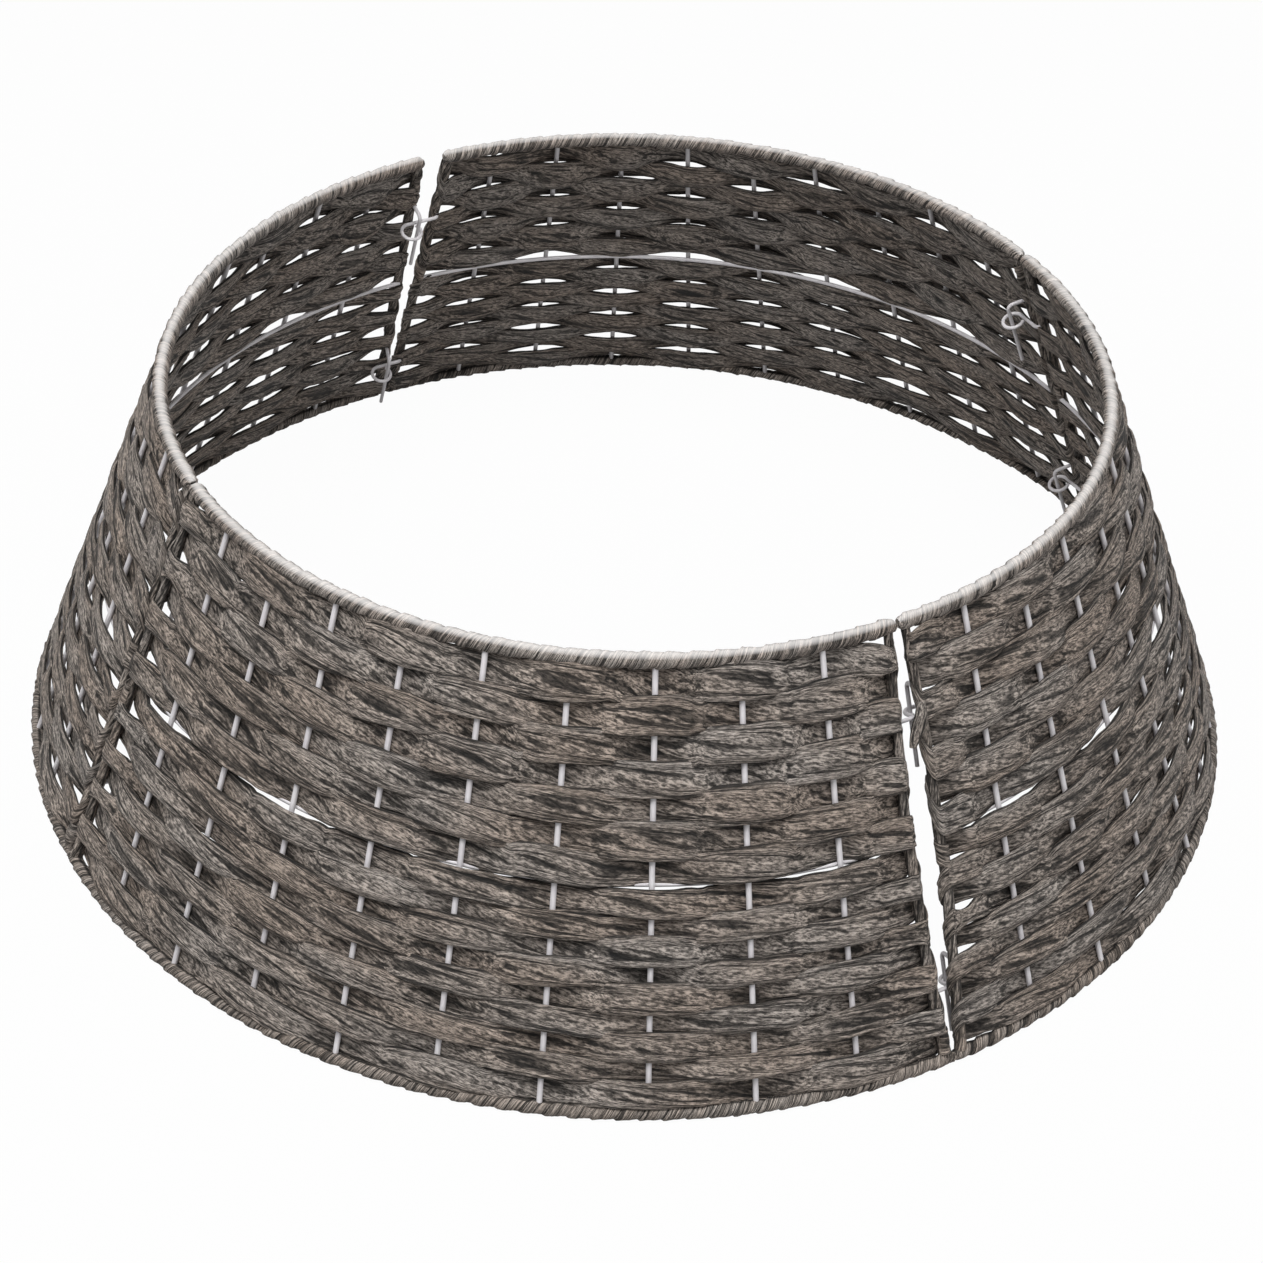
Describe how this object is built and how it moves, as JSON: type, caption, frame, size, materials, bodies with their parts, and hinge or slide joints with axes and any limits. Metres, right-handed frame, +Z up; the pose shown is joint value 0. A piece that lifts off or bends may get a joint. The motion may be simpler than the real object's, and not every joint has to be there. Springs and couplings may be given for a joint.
{
  "type": "christmas tree collar",
  "caption": "Round tapering collar of four woven quarter panels on wire frames, joined by eyes and drop-in pins, that stands round a tree's foot.",
  "frame": {"origin": "centre of the foot circle, on the floor", "axes": "+Z up; the front panel's middle lies toward -Y and -X, at a plan angle of -105 degrees"},
  "size_m": [0.71, 0.71, 0.228],
  "materials": {
    "strand": "matt twisted strand, streaked along its length",
    "wire": "light grey satin"
  },
  "bodies": {
    "front_panel": {"front_panel_frame": "wire", "front_panel_stakes": "wire", "front_panel_mid_wire": "wire", "front_panel_upper_weave": "strand", "front_panel_lower_weave": "strand", "front_panel_top_binding": "strand", "front_panel_foot_binding": "strand", "front_panel_pin_side_binding": "strand", "front_panel_eye_side_binding": "strand", "front_panel_upper_pin": "wire", "front_panel_upper_eye": "wire", "front_panel_lower_pin": "wire", "front_panel_lower_eye": "wire"},
    "right_panel": {"right_panel_frame": "wire", "right_panel_stakes": "wire", "right_panel_mid_wire": "wire", "right_panel_upper_weave": "strand", "right_panel_lower_weave": "strand", "right_panel_top_binding": "strand", "right_panel_foot_binding": "strand", "right_panel_pin_side_binding": "strand", "right_panel_eye_side_binding": "strand", "right_panel_upper_pin": "wire", "right_panel_upper_eye": "wire", "right_panel_lower_pin": "wire", "right_panel_lower_eye": "wire"},
    "back_panel": {"back_panel_frame": "wire", "back_panel_stakes": "wire", "back_panel_mid_wire": "wire", "back_panel_upper_weave": "strand", "back_panel_lower_weave": "strand", "back_panel_top_binding": "strand", "back_panel_foot_binding": "strand", "back_panel_pin_side_binding": "strand", "back_panel_eye_side_binding": "strand", "back_panel_upper_pin": "wire", "back_panel_upper_eye": "wire", "back_panel_lower_pin": "wire", "back_panel_lower_eye": "wire"},
    "left_panel": {"left_panel_frame": "wire", "left_panel_stakes": "wire", "left_panel_mid_wire": "wire", "left_panel_upper_weave": "strand", "left_panel_lower_weave": "strand", "left_panel_top_binding": "strand", "left_panel_foot_binding": "strand", "left_panel_pin_side_binding": "strand", "left_panel_eye_side_binding": "strand", "left_panel_upper_pin": "wire", "left_panel_upper_eye": "wire", "left_panel_lower_pin": "wire", "left_panel_lower_eye": "wire"}
  },
  "joints": [
    {"name": "left_seam_swing", "type": "hinge", "parent": "back_panel", "child": "left_panel", "pos_m": [-0.153, 0.265, 0.11375], "axis": [-0.1889, 0.3273, -0.9258], "range_deg": [0, 25]},
    {"name": "right_seam_swing", "type": "hinge", "parent": "back_panel", "child": "right_panel", "pos_m": [0.265, 0.153, 0.11375], "axis": [-0.3273, -0.1889, 0.9258], "range_deg": [0, 25]},
    {"name": "front_seam_swing", "type": "hinge", "parent": "right_panel", "child": "front_panel", "pos_m": [0.153, -0.265, 0.11375], "axis": [-0.1889, 0.3273, 0.9258], "range_deg": [0, 25]}
  ]
}
